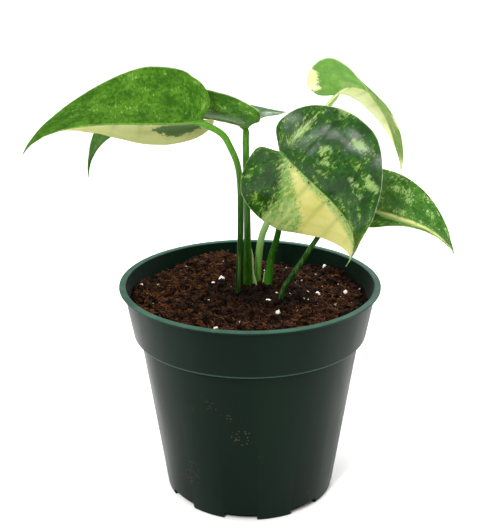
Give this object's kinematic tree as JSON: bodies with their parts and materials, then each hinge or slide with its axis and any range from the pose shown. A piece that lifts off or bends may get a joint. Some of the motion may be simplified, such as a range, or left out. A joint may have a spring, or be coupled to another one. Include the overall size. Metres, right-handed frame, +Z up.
{
  "type": "potted variegated monstera",
  "caption": "Young variegated monstera with heart-shaped leaves on upright petioles in a round plastic nursery pot with a stepped collar and lip",
  "frame": {"origin": "centre of the flat underside of the pot", "axes": "+Z is up, out of the pot; -Y is the side that faces the picture's camera; -X is to its left, where the largest leaf reaches"},
  "size_m": [0.2556, 0.164, 0.2771],
  "materials": {
    "pot_plastic": "satin injection-moulded polypropylene, dark green",
    "potting_mix": "moist peat and coir with perlite and bark",
    "leaf_left": "living leaf, underside, satin",
    "leaf_back": "living leaf, underside, satin",
    "leaf_front": "living leaf, upper side, waxy gloss with cream variegation",
    "leaf_top": "young living leaf, thin and translucent, satin",
    "leaf_right": "living leaf, upper side, waxy"
  },
  "bodies": {
    "root": {"pot": "pot_plastic", "soil": "potting_mix", "leaf_left": "leaf_left", "leaf_back": "leaf_back", "leaf_front": "leaf_front", "leaf_top": "leaf_top", "leaf_right": "leaf_right"}
  },
  "joints": []
}
